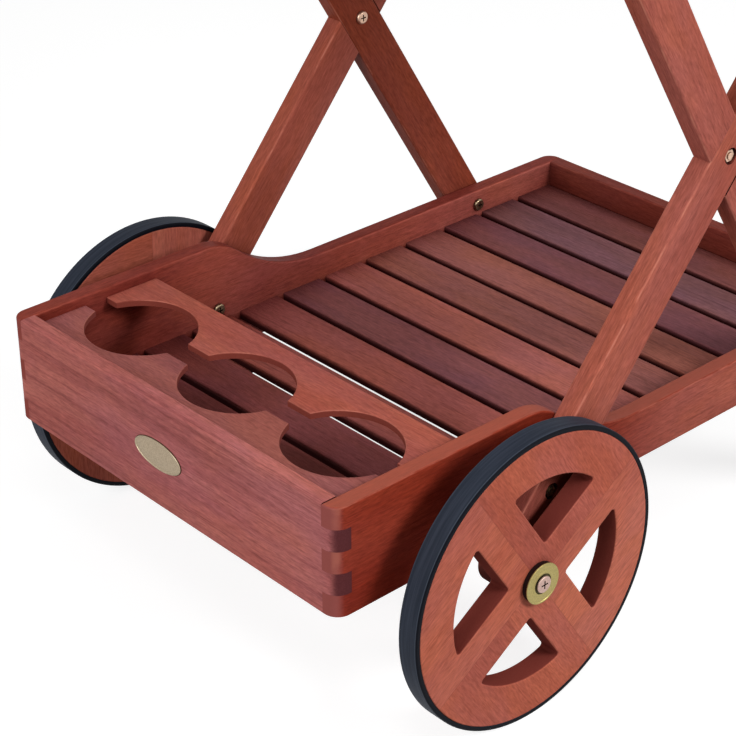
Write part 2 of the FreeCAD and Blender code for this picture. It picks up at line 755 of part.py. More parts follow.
def quarter_places(y, start):
    places = []
    for quarter in range(QUARTERS):
        angle = value(start) + quarter * 360 / QUARTERS
        rotation = FreeCAD.Rotation(FreeCAD.Vector(0, -1, 0), angle)
        places.append((AXLE_X, y, AXLE_Z, rotation))
    return places


# Lower tray: boards, floor, bottle rack and name plate
FALL = "(Sizes.front_height - Sizes.rail_height)"
CURVE_SQUARE = f"(Sizes.curve_run ^ 2 + {FALL} ^ 2)"
KNEE_X = f"(Sizes.curve_start + Sizes.curve_top_radius * 2 * Sizes.curve_run * {FALL} / {CURVE_SQUARE})"
KNEE_Z = f"(Sizes.front_height - Sizes.curve_top_radius * 2 * {FALL} ^ 2 / {CURVE_SQUARE})"
CURVE_END = "(Sizes.curve_start + Sizes.curve_run)"
sweep = [
    ("Sizes.curve_start", "Sizes.front_height", "Sizes.curve_start", -1),
    (KNEE_X, KNEE_Z, CURVE_END, 1),
    (CURVE_END, "Sizes.rail_height"),
]
high_end = ("Sizes.front_height", FRONT_FINGERS)
low_end = ("Sizes.rail_height", RAIL_FINGERS)

end_board("lower_front_board", FRONT_X, LOWER_Z, *high_end, faces_front=True)
end_board("lower_rear_board", f"({BACK_X} - Sizes.board_thick)", LOWER_Z, *low_end, faces_front=False)
lower_holes = [(f"{x} - {FRONT_X}", "Sizes.bolt_height") for x, _ in LOWER_BOLTS]
dowel_z = "Sizes.front_height - Sizes.rack_drop - Sizes.rack_thick / 2"
dowel_sockets = [(f"{x} - {FRONT_X}", dowel_z) for x in dowel_places()]
lower_side = side_board(
    "lower_side_board_right", FRONT_X, LOWER_Z, "Sizes.lower_length",
    high_end, low_end, sweep, lower_holes, dowel_sockets,
)
mirrored(lower_side, "lower_side_board_left")
lower_gaps = [(3, "Sizes.third_gap_extra"), (4, "Sizes.fourth_gap_extra")]
screw_places = slat_floor("lower", FRONT_X, LOWER_Z, "Sizes.lower_length", LOWER_SLATS, lower_gaps)

rack_board("bottle_rack_front", RACK_FRONT_X, "Sizes.rack_front_width", slot_on_back=True)
rack_board("bottle_rack_rear", RACK_REAR_X, "Sizes.rack_rear_width", slot_on_back=False)
dowel = new_body("dowel")
dowel_sketch = new_sketch(dowel, "XZ_Plane")
draw_circle(dowel_sketch, "0", "0", "Sizes.dowel_radius")
pad(dowel, dowel_sketch, "2 * Sizes.dowel_depth", symmetric=True)
dowel_line = f"({RACK_Z} + Sizes.rack_thick / 2)"
dowel_points = [(x, dowel_line) for x in dowel_places()]
copies("rack_dowels", dowel, both_sides(dowel_points, INNER_HALF, towards_middle=True))

oval = doc.addObject("Part::Ellipse", "plate_outline")
oval.setExpression("MajorRadius", "Sizes.plate_length / 2")
oval.setExpression("MinorRadius", "Sizes.plate_height / 2")
oval.Placement.Rotation = FreeCAD.Rotation(FreeCAD.Vector(1, 1, 1), 120)
place(oval, FRONT_X, "Sizes.plate_offset", f"({LOWER_Z} + Sizes.front_height / 2)")
plate = doc.addObject("Part::Extrusion", "name_plate")
plate.Base = oval
plate.DirMode = "Custom"
plate.Dir = FreeCAD.Vector(-1, 0, 0)
plate.Solid = True
plate.setExpression("LengthFwd", "Sizes.plate_thick")
finish(plate, "name_plate")

# Leg frames and the push handle
mirrored(wheel_leg(), "wheel_leg_left")
mirrored(foot_leg(), "foot_leg_left")
handle = doc.addObject("Part::Cylinder", "handle_bar")
handle.setExpression("Radius", "Sizes.handle_radius")
handle.setExpression("Height", "Sizes.tray_width")
handle.Placement.Rotation = FreeCAD.Rotation(FreeCAD.Vector(1, 0, 0), -90)
place(handle, HANDLE_X, f"-{HALF_WIDTH}", HANDLE_Z)
finish(handle, "handle_bar")
handle_screw_length = "(Sizes.leg_thick + Sizes.handle_screw_bite)"
handle_screw = bolt("handle_screw", "Sizes.bolt_radius", handle_screw_length, *PAN_HEAD)
copies("handle_screws", handle_screw, both_sides([(HANDLE_X, HANDLE_Z)], LEG_FACE, towards_middle=True))

# Upper tray
upper_back = f"({UPPER_FRONT_X} + Sizes.upper_length)"
upper_z = "Sizes.upper_height"
end_board("upper_front_board", UPPER_FRONT_X, upper_z, *low_end, faces_front=True)
end_board("upper_rear_board", f"({upper_back} - Sizes.board_thick)", upper_z, *low_end, faces_front=False)
upper_holes = [(f"{x} - {UPPER_FRONT_X}", "Sizes.bolt_height") for x, _ in UPPER_BOLTS]
upper_side = side_board(
    "upper_side_board_right", UPPER_FRONT_X, upper_z, "Sizes.upper_length",
    low_end, low_end, [], upper_holes,
)
mirrored(upper_side, "upper_side_board_left")
screw_places += slat_floor("upper", UPPER_FRONT_X, upper_z, "Sizes.upper_length", UPPER_SLATS)
copies("slat_screws", wood_screw("slat_screw"), screw_places)

# Frame bolts and nuts
grip = "Sizes.leg_thick - Sizes.nut_recess_depth + Sizes.nut_height + Sizes.bolt_end"
tray_bolt = bolt("tray_bolt", "Sizes.bolt_radius", f"({grip} + Sizes.board_thick)", *PAN_HEAD)
cross_bolt = bolt("cross_bolt", "Sizes.bolt_radius", f"({grip})", *PAN_HEAD)
frame_nut = nut("frame_nut", "Sizes.nut_radius", BOLT_HOLE, "Sizes.nut_height")
tray_points = LOWER_BOLTS + UPPER_BOLTS
cross_points = [(CROSS_X, CROSS_Z)]
copies("tray_bolts", tray_bolt, both_sides(tray_points, INNER_HALF, towards_middle=False))
copies("tray_nuts", frame_nut, both_sides(tray_points, NUT_SEAT, towards_middle=True))
copies("crossing_bolts", cross_bolt, both_sides(cross_points, HALF_WIDTH, towards_middle=False))
copies("crossing_nuts", frame_nut, both_sides(cross_points, NUT_SEAT, towards_middle=True))

# Wheels and axles
quarter = wheel_quarter()
copies("right_wheel_quarters", quarter, quarter_places(f"-{WHEEL_MIDDLE}", "Sizes.right_wheel_turn"))
copies("left_wheel_quarters", quarter, quarter_places(WHEEL_MIDDLE, "Sizes.left_wheel_turn"))
mirrored(tyre(), "left_tyre")
mirrored(bush(), "left_wheel_bush")
axle_points = [(AXLE_X, AXLE_Z)]
axle_length = f"({AXLE_SEAT} - {HALF_WIDTH} + Sizes.axle_nut_height + Sizes.axle_end)"
axle_bolt = bolt(
    "axle_bolt", "Sizes.axle_radius", axle_length, "Sizes.axle_head_radius", "Sizes.axle_head_height",
)
axle_washer = ring("axle_washer", "Sizes.axle_washer_radius", AXLE_HOLE, "Sizes.axle_washer_thick")
axle_spacer = ring("axle_spacer", "Sizes.axle_spacer_radius", AXLE_HOLE, "Sizes.wheel_gap - Sizes.axle_play")
axle_nut = nut("axle_nut", "Sizes.axle_nut_radius", AXLE_HOLE, "Sizes.axle_nut_height")
copies("axle_bolts", axle_bolt, both_sides(axle_points, AXLE_SEAT, towards_middle=True))
copies("axle_washers", axle_washer, both_sides(axle_points, WASHER_SEAT, towards_middle=True))
copies("axle_spacers", axle_spacer, both_sides(axle_points, LEG_FACE, towards_middle=True))
copies("axle_nuts", axle_nut, both_sides(axle_points, HALF_WIDTH, towards_middle=False))

# Every feature must have worked, and every cut must have taken something away
doc.recompute()
faults = [item.Label for item in doc.Objects if {"Invalid", "Error"} & set(item.State)]
for item in doc.Objects:
    if item.TypeId in ("PartDesign::Pocket", "PartDesign::Groove"):
        if item.Shape.Volume >= item.BaseFeature.Shape.Volume - 1e-6:
            faults.append(f"{item.Label} cuts nothing")
faults += [piece.Label for piece in finished if piece.Shape.isNull() or not piece.Shape.isValid()]
if faults:
    raise RuntimeError("failed: " + ", ".join(faults))

os.makedirs("parts", exist_ok=True)
for piece in finished:
    piece.Shape.exportStep(f"parts/{piece.Label}.step")
print(f"{len(finished)} sub-parts written")
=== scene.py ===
import math

import bmesh
import bpy
from mathutils import Matrix, Vector


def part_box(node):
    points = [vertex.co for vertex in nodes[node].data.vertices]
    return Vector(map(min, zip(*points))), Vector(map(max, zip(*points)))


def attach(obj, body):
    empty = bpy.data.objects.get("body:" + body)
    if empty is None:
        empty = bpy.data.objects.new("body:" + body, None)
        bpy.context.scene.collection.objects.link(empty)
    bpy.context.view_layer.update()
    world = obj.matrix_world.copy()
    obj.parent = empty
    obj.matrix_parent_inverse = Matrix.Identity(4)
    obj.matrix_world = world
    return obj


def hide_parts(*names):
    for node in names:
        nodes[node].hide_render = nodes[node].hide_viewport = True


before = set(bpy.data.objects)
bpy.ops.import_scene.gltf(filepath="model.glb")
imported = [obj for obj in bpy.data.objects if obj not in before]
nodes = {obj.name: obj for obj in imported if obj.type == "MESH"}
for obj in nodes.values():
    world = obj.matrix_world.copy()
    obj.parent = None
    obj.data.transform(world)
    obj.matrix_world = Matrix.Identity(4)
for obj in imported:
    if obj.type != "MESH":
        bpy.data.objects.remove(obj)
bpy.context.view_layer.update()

scene = bpy.context.scene
scene.view_settings.view_transform = "Standard"


# ---- Camera ----
# A standing viewer looks down on the near corner of the lower tray, over the bottle rack, from about
# two metres. The place and lens were solved from straight edges and both wheels.
camera_place = Vector((-1.2773, -1.2309, 1.1450))
camera_yaw = math.radians(47.75)
camera_pitch = math.radians(29.41)
camera_roll = math.radians(-0.26)
camera_lens = 102.70
camera_sensor = 36.0

sight = Vector((
    math.cos(camera_pitch) * math.cos(camera_yaw),
    math.cos(camera_pitch) * math.sin(camera_yaw),
    -math.sin(camera_pitch),
))
camera_data = bpy.data.cameras.new("camera")
camera_data.lens = camera_lens
camera_data.sensor_width = camera_sensor
camera = bpy.data.objects.new("camera", camera_data)
aimed = sight.to_track_quat("-Z", "Y").to_matrix().to_4x4()
camera.matrix_world = Matrix.Translation(camera_place) @ aimed @ Matrix.Rotation(camera_roll, 4, "Z")
scene.collection.objects.link(camera)
scene.camera = camera


# ---- Floor and studio light ----
# A matt grey sheet lies under the trolley, lit by a soft lamp on the right, a wide one in front and
# two weak ones overhead. To the eye and in reflections the sheet and the room are lifted to a plain
# white, and the sheet keeps the trolley's shadow.
floor_half = 6.0
floor_grey = (0.42, 0.42, 0.42, 1)
floor_lift = 0.80
room_strength = 0.15
white = (1, 1, 1, 1)
lamp_aim = Vector((-0.1, 0.0, 0.2))


def add_node(tree, kind, sockets, **options):
    made = tree.nodes.new(kind)
    for option, setting in options.items():
        setattr(made, option, setting)
    for socket, source in sockets.items():
        if isinstance(source, bpy.types.NodeSocket):
            tree.links.new(source, made.inputs[socket])
        else:
            made.inputs[socket].default_value = source
    return made


def calculate(tree, operation, first, second=0.0, third=0.0):
    sockets = {0: first, 1: second, 2: third}
    return add_node(tree, "ShaderNodeMath", sockets, operation=operation).outputs[0]


def seen_rays(tree):
    path = add_node(tree, "ShaderNodeLightPath", {}).outputs
    seen = calculate(tree, "MAXIMUM", path["Is Camera Ray"], path["Is Transmission Ray"])
    return calculate(tree, "MAXIMUM", seen, path["Is Glossy Ray"])


def soft_lamp(name, place, size, power):
    lamp_data = bpy.data.lights.new(name, "AREA")
    lamp_data.shape = "DISK"
    lamp_data.size = size
    lamp_data.energy = power
    lamp = bpy.data.objects.new(name, lamp_data)
    lamp.location = place
    lamp.rotation_euler = (lamp_aim - Vector(place)).to_track_quat("-Z", "Y").to_euler()
    scene.collection.objects.link(lamp)


floor_mesh = bpy.data.meshes.new("floor")
floor_corners = [(-1, -1, 0), (1, -1, 0), (1, 1, 0), (-1, 1, 0)]
floor_mesh.from_pydata([Vector(corner) * floor_half for corner in floor_corners], [], [(0, 1, 2, 3)])
floor = bpy.data.objects.new("floor", floor_mesh)
scene.collection.objects.link(floor)

floor_sheet = bpy.data.materials.new("white floor sheet")
floor_sheet.use_nodes = True
tree = floor_sheet.node_tree
tree.nodes.clear()
matt = add_node(tree, "ShaderNodeBsdfDiffuse", {"Color": floor_grey})
lift = calculate(tree, "MULTIPLY", seen_rays(tree), floor_lift)
glow = add_node(tree, "ShaderNodeEmission", {"Color": white, "Strength": lift})
sheet = add_node(tree, "ShaderNodeAddShader", {0: matt.outputs[0], 1: glow.outputs[0]})
add_node(tree, "ShaderNodeOutputMaterial", {"Surface": sheet.outputs[0]})
floor_mesh.materials.append(floor_sheet)

room = bpy.data.worlds.new("bright room")
room.use_nodes = True
scene.world = room
tree = room.node_tree
tree.nodes.clear()
brighter = calculate(tree, "MULTIPLY", seen_rays(tree), 1.0 - room_strength)
strength = calculate(tree, "ADD", brighter, room_strength)
walls = add_node(tree, "ShaderNodeBackground", {"Color": white, "Strength": strength})
add_node(tree, "ShaderNodeOutputWorld", {"Surface": walls.outputs[0]})

soft_lamp("high_lamp", (-1.5, -1.5, 2.8), size=1.0, power=12.0)
soft_lamp("front_lamp", (-2.4, -0.2, 1.5), size=1.6, power=36.0)
soft_lamp("side_lamp", (0.75, -2.6, 1.9), size=1.2, power=61.0)
soft_lamp("top_lamp", (0.2, -1.0, 2.9), size=1.2, power=8.0)


# ---- Lower tray boards ----
# Four boards of oiled red hardwood, planed and sanded, finger-jointed and glued at the corners and
# rounded over. The grain runs along each board, so the fingers show long grain and end grain in turn.
# Each side board is painted darker as shade: the right board where the wheel shades it, the left board
# on its top and towards the front. On the face that looks right, its unshaded shades take over towards
# the rear.
along_x = (0.0, 0.0, 0.0)
along_y = (0.0, 0.0, math.radians(-90))
facing_up = (0, 0, 1)
facing_side = (0, 1, 0)
# The four shades of a board are pale, mid, dark and sawn end.
front_board_shades = (
    (0.464, 0.149, 0.135, 1), (0.378, 0.102, 0.095, 1),
    (0.202, 0.050, 0.048, 1), (0.085, 0.021, 0.024, 1))
rear_board_shades = (
    (0.269, 0.061, 0.044, 1), (0.212, 0.041, 0.030, 1),
    (0.099, 0.018, 0.014, 1), (0.170, 0.038, 0.036, 1))
# The right board's shades are darkened as painted shade of the wheel.
shaded_right_board_shades = (
    (0.300, 0.044, 0.023, 1), (0.235, 0.028, 0.015, 1),
    (0.100, 0.012, 0.008, 1), (0.300, 0.082, 0.072, 1))
unshaded_right_board_shades = (
    (0.430, 0.122, 0.086, 1), (0.352, 0.086, 0.059, 1), (0.180, 0.041, 0.029, 1))
# The left board's shades are darkened as painted shade; its unshaded shades also serve the upper side
# boards.
shaded_left_board_shades = (
    (0.300, 0.060, 0.042, 1), (0.240, 0.041, 0.029, 1),
    (0.104, 0.017, 0.013, 1), (0.280, 0.066, 0.055, 1))
unshaded_side_board_shades = (
    (0.520, 0.143, 0.102, 1), (0.412, 0.095, 0.070, 1),
    (0.180, 0.039, 0.030, 1), (0.280, 0.066, 0.055, 1))
shade_fade_length = 0.12
cool_cloud = (0.96, 0.985, 1.09, 1)
warm_cloud = (1.04, 1.015, 0.91, 1)
worn_and_highlight_tone = (0.60, 0.24, 0.17, 1)
# Tone that the painted corner shade multiplies into the wood.
shade_tone = (0.36, 0.24, 0.24, 1)
# Tone of the glue lines and of the painted gap shade.
glue_and_gap_shade_tone = (0.030, 0.005, 0.005, 1)
sway_reach = (0.0, 0.007, 0.007)
line_share = 0.8
fleck_share = 0.38
pore_share = 0.42
speckle_share = 0.06
worn_and_highlight_share = 0.5
mottle_gain = 1.15
mottle_base = 0.425
planed_roughness = 0.44
figure_roughness = 0.08
streak_roughness = 0.10
pore_roughness = 0.12
streak_hollow = -0.35
pore_hollow = -0.65
joint_hollow = -1.0
wear_patches = (30.0, 30.0, 30.0)
mask_samples = 6
shade_span = 0.6
joint_line_width = 0.0006
joint_line_dirt = 0.2
end_grain_share = 0.96
# Below the top of a slat, the painted gap shade starts at the first depth and is full at the second.
gap_shade_start = 0.0002
gap_shade_depth = 0.0052
grain_bump = 0.25
grain_depth = 0.0004
wood_gloss = 0.03


def tint(tree, mask, under, over, way="MIX"):
    sockets = {0: mask, 6: under, 7: over}
    return add_node(tree, "ShaderNodeMix", sockets, data_type="RGBA", blend_type=way).outputs[2]


def soft_step(tree, source, low, high):
    sockets = {"Value": source, "From Min": low, "From Max": high}
    return add_node(tree, "ShaderNodeMapRange", sockets, interpolation_type="SMOOTHSTEP").outputs[0]


def streaky(tree, place, stretch, detail):
    stretched = add_node(tree, "ShaderNodeVectorMath", {0: place, 1: stretch}, operation="MULTIPLY")
    sockets = {"Vector": stretched.outputs[0], "Scale": 1.0, "Detail": detail, "Roughness": 0.6}
    return add_node(tree, "ShaderNodeTexNoise", sockets).outputs[0]


def new_group(name, inputs, outputs):
    group = bpy.data.node_groups.new(name, "ShaderNodeTree")
    for socket, kind in inputs:
        group.interface.new_socket(socket, in_out="INPUT", socket_type="NodeSocket" + kind)
    for socket, kind in outputs:
        group.interface.new_socket(socket, in_out="OUTPUT", socket_type="NodeSocket" + kind)
    start = group.nodes.new("NodeGroupInput")
    end = group.nodes.new("NodeGroupOutput")
    return group, start.outputs, end.inputs


# Grain of an oiled hardwood board: broad figure, warm and cool clouds, growth layers, long streaks and
# thin lines, a fine mottle, flecks and pores. On top of the grain it takes painted corner shade,
# painted gap shade and a painted top highlight where a material asks for them. Sawn places, glue lines
# and the painted corner and gap shade are rougher than the rest.
hardwood, given, wanted = new_group(
    "oiled hardwood",
    [("Grain", "Vector"), ("Pale", "Color"), ("Mid", "Color"), ("Dark", "Color"), ("Sawn", "Color"),
     ("Streaks", "Float"), ("End Grain", "Float"), ("Worn Edge And Top Highlight", "Float"), ("Corner Shade", "Float"),
     ("Joint Line And Gap Shade", "Float")],
    [("Color", "Color"), ("Roughness", "Float"), ("Height", "Float")],
)
sway = add_node(hardwood, "ShaderNodeTexNoise", {"Vector": given["Grain"], "Scale": 8.0, "Detail": 2.0})
swayed = add_node(hardwood, "ShaderNodeVectorMath", {
    0: sway.outputs["Color"], 1: sway_reach, 2: given["Grain"],
}, operation="MULTIPLY_ADD").outputs[0]
figure = soft_step(hardwood, streaky(hardwood, swayed, (2.8, 15.0, 15.0), 4.0), 0.35, 0.65)
warmth = soft_step(hardwood, streaky(hardwood, swayed, (7.0, 16.0, 16.0), 3.0), 0.35, 0.65)
layers = soft_step(hardwood, streaky(hardwood, swayed, (2.4, 46.0, 46.0), 4.0), 0.44, 0.78)
long_streaks = soft_step(hardwood, streaky(hardwood, swayed, (3.0, 230.0, 230.0), 3.0), 0.50, 0.76)
mottle = streaky(hardwood, swayed, (110.0, 620.0, 620.0), 4.0)
thin_lines = soft_step(hardwood, streaky(hardwood, swayed, (1.6, 420.0, 420.0), 2.0), 0.54, 0.70)
flecks = soft_step(hardwood, streaky(hardwood, swayed, (45.0, 700.0, 700.0), 2.0), 0.54, 0.74)
pores = soft_step(hardwood, streaky(hardwood, swayed, (40.0, 1000.0, 1000.0), 2.0), 0.54, 0.72)
speckle = soft_step(hardwood, streaky(hardwood, given["Grain"], (500.0, 900.0, 900.0), 2.0), 0.40, 0.65)
colour = tint(hardwood, figure, given["Mid"], given["Pale"])
clouds = tint(hardwood, warmth, cool_cloud, warm_cloud)
colour = tint(hardwood, 1.0, colour, clouds, "MULTIPLY")
layered = calculate(hardwood, "MULTIPLY", layers, given["Streaks"])
colour = tint(hardwood, layered, colour, given["Dark"])
streaked = calculate(hardwood, "MULTIPLY", long_streaks, given["Streaks"])
colour = tint(hardwood, streaked, colour, given["Dark"])
lined = calculate(hardwood, "MULTIPLY", thin_lines, given["Streaks"])
colour = tint(hardwood, calculate(hardwood, "MULTIPLY", lined, line_share), colour, given["Dark"])
mottled = calculate(hardwood, "MULTIPLY_ADD", mottle, mottle_gain, mottle_base)
colour = tint(hardwood, 1.0, colour, mottled, "MULTIPLY")
colour = tint(hardwood, calculate(hardwood, "MULTIPLY", flecks, fleck_share), colour, given["Pale"])
colour = tint(hardwood, calculate(hardwood, "MULTIPLY", pores, pore_share), colour, given["Dark"])
speckled = calculate(hardwood, "MULTIPLY", speckle, speckle_share)
colour = tint(
    hardwood, given["End Grain"], colour, tint(hardwood, speckled, given["Sawn"], given["Mid"]))
# Worn edges and the painted top highlight share this pale tone.
worn_and_highlight = tint(hardwood, worn_and_highlight_share, given["Pale"], worn_and_highlight_tone)
colour = tint(hardwood, given["Worn Edge And Top Highlight"], colour, worn_and_highlight)
# Where a face is hemmed in, the colour is painted darker as corner shade.
corner_shaded = tint(hardwood, 1.0, colour, shade_tone, "MULTIPLY")
colour = tint(hardwood, given["Corner Shade"], colour, corner_shaded)
colour = tint(hardwood, given["Joint Line And Gap Shade"], colour, glue_and_gap_shade_tone)
hardwood.links.new(colour, wanted["Color"])
roughness = calculate(hardwood, "MULTIPLY_ADD", figure, figure_roughness, planed_roughness)
roughness = calculate(hardwood, "MULTIPLY_ADD", long_streaks, streak_roughness, roughness)
roughness = calculate(hardwood, "MULTIPLY_ADD", pores, pore_roughness, roughness)
for rough_place in ("End Grain", "Corner Shade", "Joint Line And Gap Shade"):
    roughness = calculate(hardwood, "MAXIMUM", roughness, given[rough_place])
hardwood.links.new(roughness, wanted["Roughness"])
height = calculate(hardwood, "MULTIPLY_ADD", long_streaks, streak_hollow, 1.0)
height = calculate(hardwood, "MULTIPLY_ADD", pores, pore_hollow, height)
height = calculate(hardwood, "MULTIPLY_ADD", given["Joint Line And Gap Shade"], joint_hollow, height)
hardwood.links.new(height, wanted["Height"])

# Rounded edges are rubbed lighter by hands, in patches: the mask peaks halfway round an edge.
worn_edges, given, wanted = new_group(
    "worn edges",
    [("Normal", "Vector"), ("Axis", "Vector"), ("Place", "Vector")],
    [("Mask", "Float")],
)
facing = add_node(worn_edges, "ShaderNodeVectorMath", {
    0: given["Normal"], 1: given["Axis"],
}, operation="DOT_PRODUCT").outputs["Value"]
square = calculate(worn_edges, "MULTIPLY", facing, facing)
halfway = calculate(worn_edges, "MULTIPLY", square, calculate(worn_edges, "SUBTRACT", 1.0, square))
rounding = soft_step(worn_edges, calculate(worn_edges, "MULTIPLY", halfway, 4.0), 0.55, 1.0)
patches = soft_step(worn_edges, streaky(worn_edges, given["Place"], wear_patches, 4.0), 0.42, 0.60)
worn_edges.links.new(calculate(worn_edges, "MULTIPLY", rounding, patches), wanted["Mask"])

# Square edges, where two boards meet, hold a fine dark line of glue and dust.
joint_lines, given, wanted = new_group("joint lines", [("Width", "Float")], [("Mask", "Float")])
true_face = add_node(joint_lines, "ShaderNodeNewGeometry", {})
eased = add_node(joint_lines, "ShaderNodeBevel", {"Radius": given["Width"]}, samples=mask_samples)
bent = add_node(joint_lines, "ShaderNodeVectorMath", {
    0: true_face.outputs["Normal"], 1: eased.outputs["Normal"],
}, operation="DOT_PRODUCT").outputs["Value"]
joint_lines.links.new(soft_step(joint_lines, bent, 0.97, 0.80), wanted["Mask"])

# Inner corners are painted dark as shade: the mask grows where a face is hemmed in by others within
# the reach.
corner_shade, given, wanted = new_group(
    "painted corner shade", [("Reach", "Float"), ("Clear", "Float")], [("Mask", "Float")])
hemmed_in = add_node(
    corner_shade, "ShaderNodeAmbientOcclusion", {"Distance": given["Reach"]}, samples=mask_samples)
darkest_at = calculate(corner_shade, "SUBTRACT", given["Clear"], shade_span)
corner_shade.links.new(
    soft_step(corner_shade, hemmed_in.outputs["AO"], given["Clear"], darkest_at), wanted["Mask"])


def new_material(name):
    material = bpy.data.materials.new(name)
    material.use_nodes = True
    tree = material.node_tree
    place = add_node(tree, "ShaderNodeTexCoord", {}).outputs
    return material, tree, tree.nodes["Principled BSDF"].inputs, place


def oil_finish(tree, shader, wood):
    bump = add_node(tree, "ShaderNodeBump", {
        "Height": wood.outputs["Height"], "Strength": grain_bump, "Distance": grain_depth,
    })
    tree.links.new(wood.outputs["Color"], shader["Base Color"])
    tree.links.new(wood.outputs["Roughness"], shader["Roughness"])
    tree.links.new(bump.outputs[0], shader["Normal"])
    shader["Specular IOR Level"].default_value = wood_gloss


def wood_material(name, shades, grain_turn, shift, streaks, edge_axis, worn,
                  top_highlight=0.0, gap_top=0.0, sawn_edge=0.0, shade_reach=0.05, shade_clear=0.72,
                  unshaded_shades=None, unshaded_from=0.0):
    material, tree, shader, place = new_material(name)
    grain = add_node(tree, "ShaderNodeMapping", {
        "Vector": place["Object"], "Rotation": grain_turn, "Location": shift,
    })
    turned = add_node(tree, "ShaderNodeMapping", {
        "Vector": place["Normal"], "Rotation": grain_turn,
    }, vector_type="VECTOR")
    looks = add_node(tree, "ShaderNodeSeparateXYZ", {"Vector": turned.outputs[0]}).outputs
    spot = add_node(tree, "ShaderNodeSeparateXYZ", {"Vector": place["Object"]}).outputs
    cut_across = soft_step(tree, calculate(tree, "ABSOLUTE", looks["X"]), 0.25, 0.80)
    end_grain = calculate(tree, "MULTIPLY", cut_across, end_grain_share)
    if sawn_edge:
        upright = soft_step(tree, calculate(tree, "ABSOLUTE", looks["Z"]), 0.75, 0.25)
        sawn = calculate(tree, "MULTIPLY", upright, sawn_edge)
        end_grain = calculate(tree, "MAXIMUM", end_grain, sawn)
    edges = add_node(tree, "ShaderNodeGroup", {
        "Normal": place["Normal"], "Axis": edge_axis, "Place": grain.outputs[0],
    }, node_tree=worn_edges)
    wear_and_top_highlight = calculate(tree, "MULTIPLY", edges.outputs[0], worn)
    # Top faces are painted lighter as highlight, in the same pale tone as the worn edges.
    if top_highlight:
        lit_top = soft_step(tree, looks["Z"], 0.75, 0.98)
        wear_and_top_highlight = calculate(tree, "MAXIMUM", wear_and_top_highlight, calculate(tree, "MULTIPLY", lit_top, top_highlight))
    glued = add_node(tree, "ShaderNodeGroup", {"Width": joint_line_width}, node_tree=joint_lines)
    joint_dirt_and_gap_shade = calculate(tree, "MULTIPLY", glued.outputs[0], joint_line_dirt)
    # Side faces of slats are painted darker further below the top, down to near black, as shade in the
    # gaps.
    if gap_top:
        sideways = soft_step(tree, calculate(tree, "ABSOLUTE", looks["Y"]), 0.4, 0.8)
        deep = soft_step(tree, spot["Z"], gap_top - gap_shade_start, gap_top - gap_shade_depth)
        joint_dirt_and_gap_shade = calculate(tree, "MAXIMUM", joint_dirt_and_gap_shade, calculate(tree, "MULTIPLY", sideways, deep))
    # Faces hemmed in by others are painted darker as corner shade.
    corner_shading = add_node(tree, "ShaderNodeGroup", {
        "Reach": shade_reach, "Clear": shade_clear,
    }, node_tree=corner_shade)
    pale, mid, dark, sawn_end = shades
    # On the face that looks right, the painted shade fades towards the rear into the unshaded shades.
    if unshaded_shades:
        right_looking = soft_step(tree, looks["Y"], -0.5, -0.95)
        towards_rear = soft_step(tree, spot["X"], unshaded_from, unshaded_from + shade_fade_length)
        unshaded_part = calculate(tree, "MULTIPLY", right_looking, towards_rear)
        pale, mid, dark = [tint(tree, unshaded_part, shades[tone], unshaded_shades[tone]) for tone in range(3)]
    wood = add_node(tree, "ShaderNodeGroup", {
        "Grain": grain.outputs[0],
        "Pale": pale,
        "Mid": mid,
        "Dark": dark,
        "Sawn": sawn_end,
        "Streaks": streaks,
        "End Grain": end_grain,
        "Worn Edge And Top Highlight": wear_and_top_highlight,
        "Corner Shade": corner_shading.outputs[0],
        "Joint Line And Gap Shade": joint_dirt_and_gap_shade,
    }, node_tree=hardwood)
    oil_finish(tree, shader, wood)
    return material


def dress(node_name, material):
    mesh = nodes[node_name].data
    mesh.materials.clear()
    mesh.materials.append(material)


dress("lower_front_board", wood_material(
    "lower front board", front_board_shades, along_y, shift=(1.3, 0.4, 1.9),
    streaks=0.55, edge_axis=facing_up, worn=0.15))
dress("lower_rear_board", wood_material(
    "lower rear board", rear_board_shades, along_y, shift=(4.0, 0.4, 1.9),
    streaks=0.35, edge_axis=facing_up, worn=0.4, shade_reach=0.07, shade_clear=0.80))
dress("lower_side_board_right", wood_material(
    "lower side board right", shaded_right_board_shades, along_x, shift=(0.0, 0.7, 0.2),
    streaks=0.25, edge_axis=facing_side, worn=0.5, top_highlight=0.48,
    unshaded_shades=unshaded_right_board_shades, unshaded_from=-0.10))
dress("lower_side_board_left", wood_material(
    "lower side board left", shaded_left_board_shades, along_x, shift=(3.1, 0.7, 0.2),
    streaks=0.28, edge_axis=facing_side, worn=0.15, shade_reach=0.11, shade_clear=0.80,
    unshaded_shades=unshaded_side_board_shades, unshaded_from=-0.27))


# ---- Slat floor of the lower tray ----
# Twelve thin slats of the same wood, each from another plank, lie across the tray with open gaps
# between. They are screwed from below through two cleats, which are glued along the side boards.
red_plank = Vector((0.40, 0.122, 0.100))
brown_plank = Vector((0.315, 0.107, 0.086))
dark_plank = Vector((0.25, 0.070, 0.065))
warm_plank = Vector((0.335, 0.093, 0.075))
purple_plank = Vector((0.222, 0.075, 0.080))
grey_plank = Vector((0.205, 0.086, 0.093))
plum_plank = Vector((0.235, 0.079, 0.073))
lower_planks = (
    red_plank, dark_plank, dark_plank, warm_plank, warm_plank, purple_plank,
    red_plank, brown_plank, brown_plank, purple_plank, grey_plank, plum_plank,
)
plank_pale_gain = 1.25
plank_dark_gain = 0.42


def plank_shades(plank):
    pale = (*(plank * plank_pale_gain), 1.0)
    dark = (*(plank * plank_dark_gain), 1.0)
    return pale, (*plank, 1.0), dark, dark


